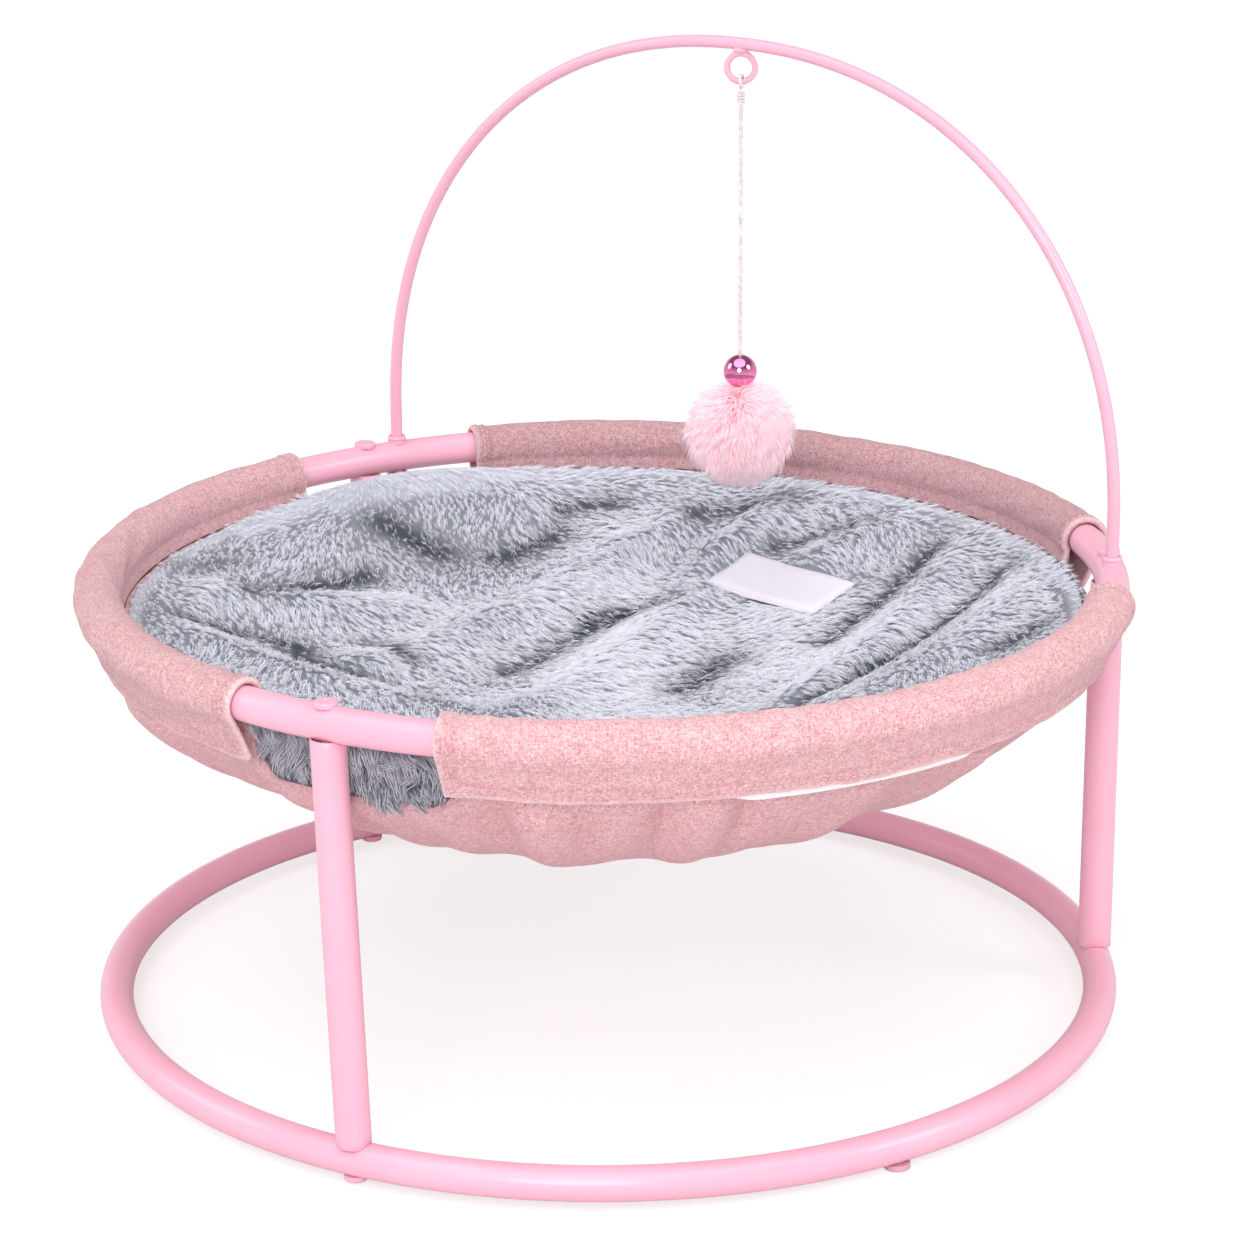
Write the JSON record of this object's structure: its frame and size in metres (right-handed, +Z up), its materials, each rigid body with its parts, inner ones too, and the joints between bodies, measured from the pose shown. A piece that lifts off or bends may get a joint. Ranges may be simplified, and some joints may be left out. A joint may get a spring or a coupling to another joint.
{
  "type": "cat bed",
  "caption": "Round plush hammock bed for a cat, hung inside the rim of a raised tube frame, with an arch that dangles a pom-pom toy over it.",
  "frame": {"origin": "on the floor under the common centre of the base and rim rings", "axes": "+Z up; X runs between the feet of the toy arch, which stands on the +Y side; -Y is the side of the front leg"},
  "size_m": [0.5022, 0.5, 0.4524],
  "materials": {
    "pink_powder_coat": "satin-gloss pale pink powder coat",
    "plated_steel": "bright zinc plating",
    "moulded_glide": "matte pink moulded plastic",
    "pink_linen": "heathered pink linen weave, matte",
    "grey_plush": "long silver-grey plush pile",
    "white_thread": "white woven or twisted thread",
    "pink_chrome": "mirror-like pink plating on plastic",
    "pink_fluff": "soft pale pink pom-pom fur"
  },
  "bodies": {
    "bed": {"base_ring": "pink_powder_coat", "rim_ring": "pink_powder_coat", "leg_front": "pink_powder_coat", "leg_right": "pink_powder_coat", "leg_left": "pink_powder_coat", "leg_insert_top_front": "plated_steel", "leg_insert_top_right": "plated_steel", "leg_insert_top_left": "plated_steel", "leg_insert_bottom_front": "plated_steel", "leg_insert_bottom_right": "plated_steel", "leg_insert_bottom_left": "plated_steel", "rim_bolt_front": "pink_powder_coat", "rim_bolt_right": "pink_powder_coat", "rim_bolt_left": "pink_powder_coat", "base_bolt_front": "pink_powder_coat", "base_bolt_right": "pink_powder_coat", "base_bolt_left": "pink_powder_coat", "base_glide_1": "moulded_glide", "base_glide_2": "moulded_glide", "base_glide_3": "moulded_glide", "toy_arch": "pink_powder_coat", "arch_collar_right": "pink_powder_coat", "arch_collar_left": "pink_powder_coat", "arch_nut_right": "plated_steel", "arch_nut_left": "plated_steel", "eye_ring": "pink_powder_coat", "hammock_shell": "pink_linen", "plush_liner": "grey_plush", "rim_sleeve_right": "pink_linen", "rim_sleeve_back": "pink_linen", "rim_sleeve_left": "pink_linen", "hook_tape_right": "white_thread", "hook_tape_back": "white_thread", "hook_tape_left": "white_thread", "blank_label": "white_thread"},
    "toy_loop": {"cord_loop": "white_thread"},
    "toy_line": {"cord_knot": "white_thread", "toy_cord": "white_thread"},
    "toy_lure": {"toy_bead": "pink_chrome", "toy_pompom": "pink_fluff"}
  },
  "joints": [
    {"name": "toy_side_swing", "type": "hinge", "parent": "bed", "child": "toy_loop", "pos_m": [0.0026, 0.12, 0.43779], "axis": [0.4226, -0.9063, 0], "range_deg": [-50, 50]},
    {"name": "toy_swing", "type": "hinge", "parent": "toy_loop", "child": "toy_line", "pos_m": [0.0026, 0.12, 0.43099], "axis": [0.9063, 0.4226, 0], "range_deg": [-75, 75]},
    {"name": "toy_spin", "type": "hinge", "parent": "toy_line", "child": "toy_lure", "pos_m": [0.0026, 0.12, 0.2869], "axis": [0, 0, 1], "range_deg": [-180, 180]}
  ]
}
